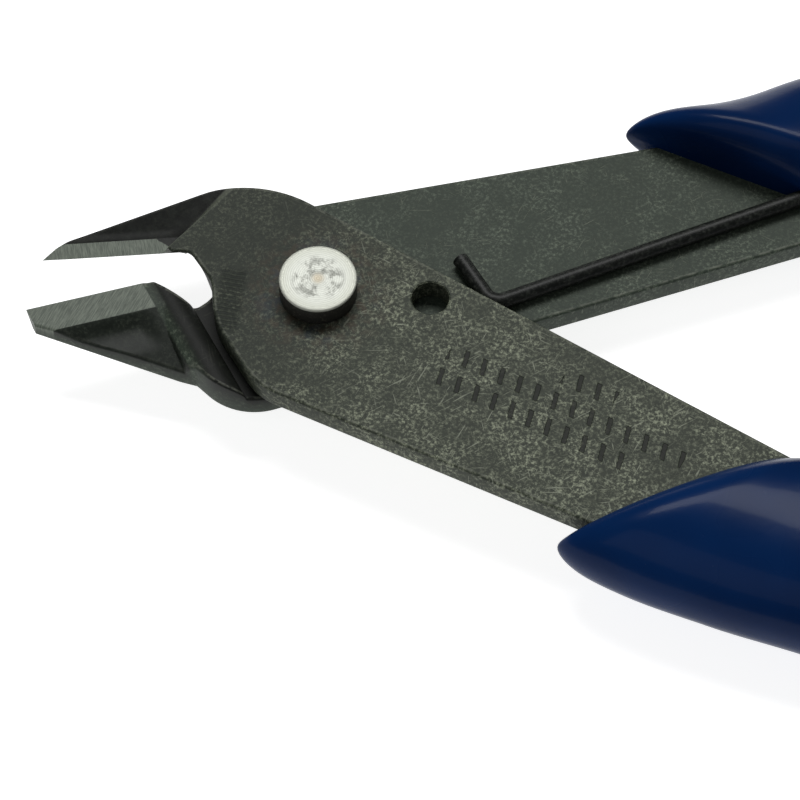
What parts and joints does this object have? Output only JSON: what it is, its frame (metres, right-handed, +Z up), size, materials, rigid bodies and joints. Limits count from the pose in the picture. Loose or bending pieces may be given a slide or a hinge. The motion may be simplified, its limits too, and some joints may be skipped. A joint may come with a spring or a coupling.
{
  "type": "diagonal cutting pliers",
  "caption": "Small spring-opened diagonal cutter: crossed stamped steel levers on a rivet, angled flush jaws and dipped blue grips.",
  "frame": {"origin": "centre of the tool's footprint with the jaws open, on the surface it lies on", "axes": "+X along the handles away from the jaws, +Z up out of the face that shows the rivet head"},
  "size_m": [0.127, 0.0554, 0.0086],
  "materials": {
    "blackened_steel": "black oxide, satin, scuffed",
    "bright_steel": "bright, faced and lightly smudged",
    "spring_steel": "oil blackened wire",
    "blue_vinyl": "glossy dipped vinyl"
  },
  "bodies": {
    "rear_half": {"rear_lever": "blackened_steel", "rear_grip": "blue_vinyl", "pivot_rivet": "bright_steel"},
    "front_half": {"front_lever": "blackened_steel", "front_grip": "blue_vinyl"},
    "spring": {"return_spring": "spring_steel"}
  },
  "joints": [
    {"name": "pivot", "type": "hinge", "parent": "rear_half", "child": "front_half", "pos_m": [-0.04571, -0.00001, 0.00405], "axis": [0, 0, 1], "range_deg": [0, 11.3], "stiffness_Nm_per_rad": 0.8, "springref_deg": -8.59},
    {"name": "spring_flex", "type": "hinge", "parent": "rear_half", "child": "spring", "pos_m": [-0.01859, 0.01028, 0.00405], "axis": [0, 0, 1], "range_deg": [-9.3, 0]}
  ],
  "couplings": [
    {"joint": "spring_flex", "follows": "pivot", "ratio": -0.82}
  ]
}
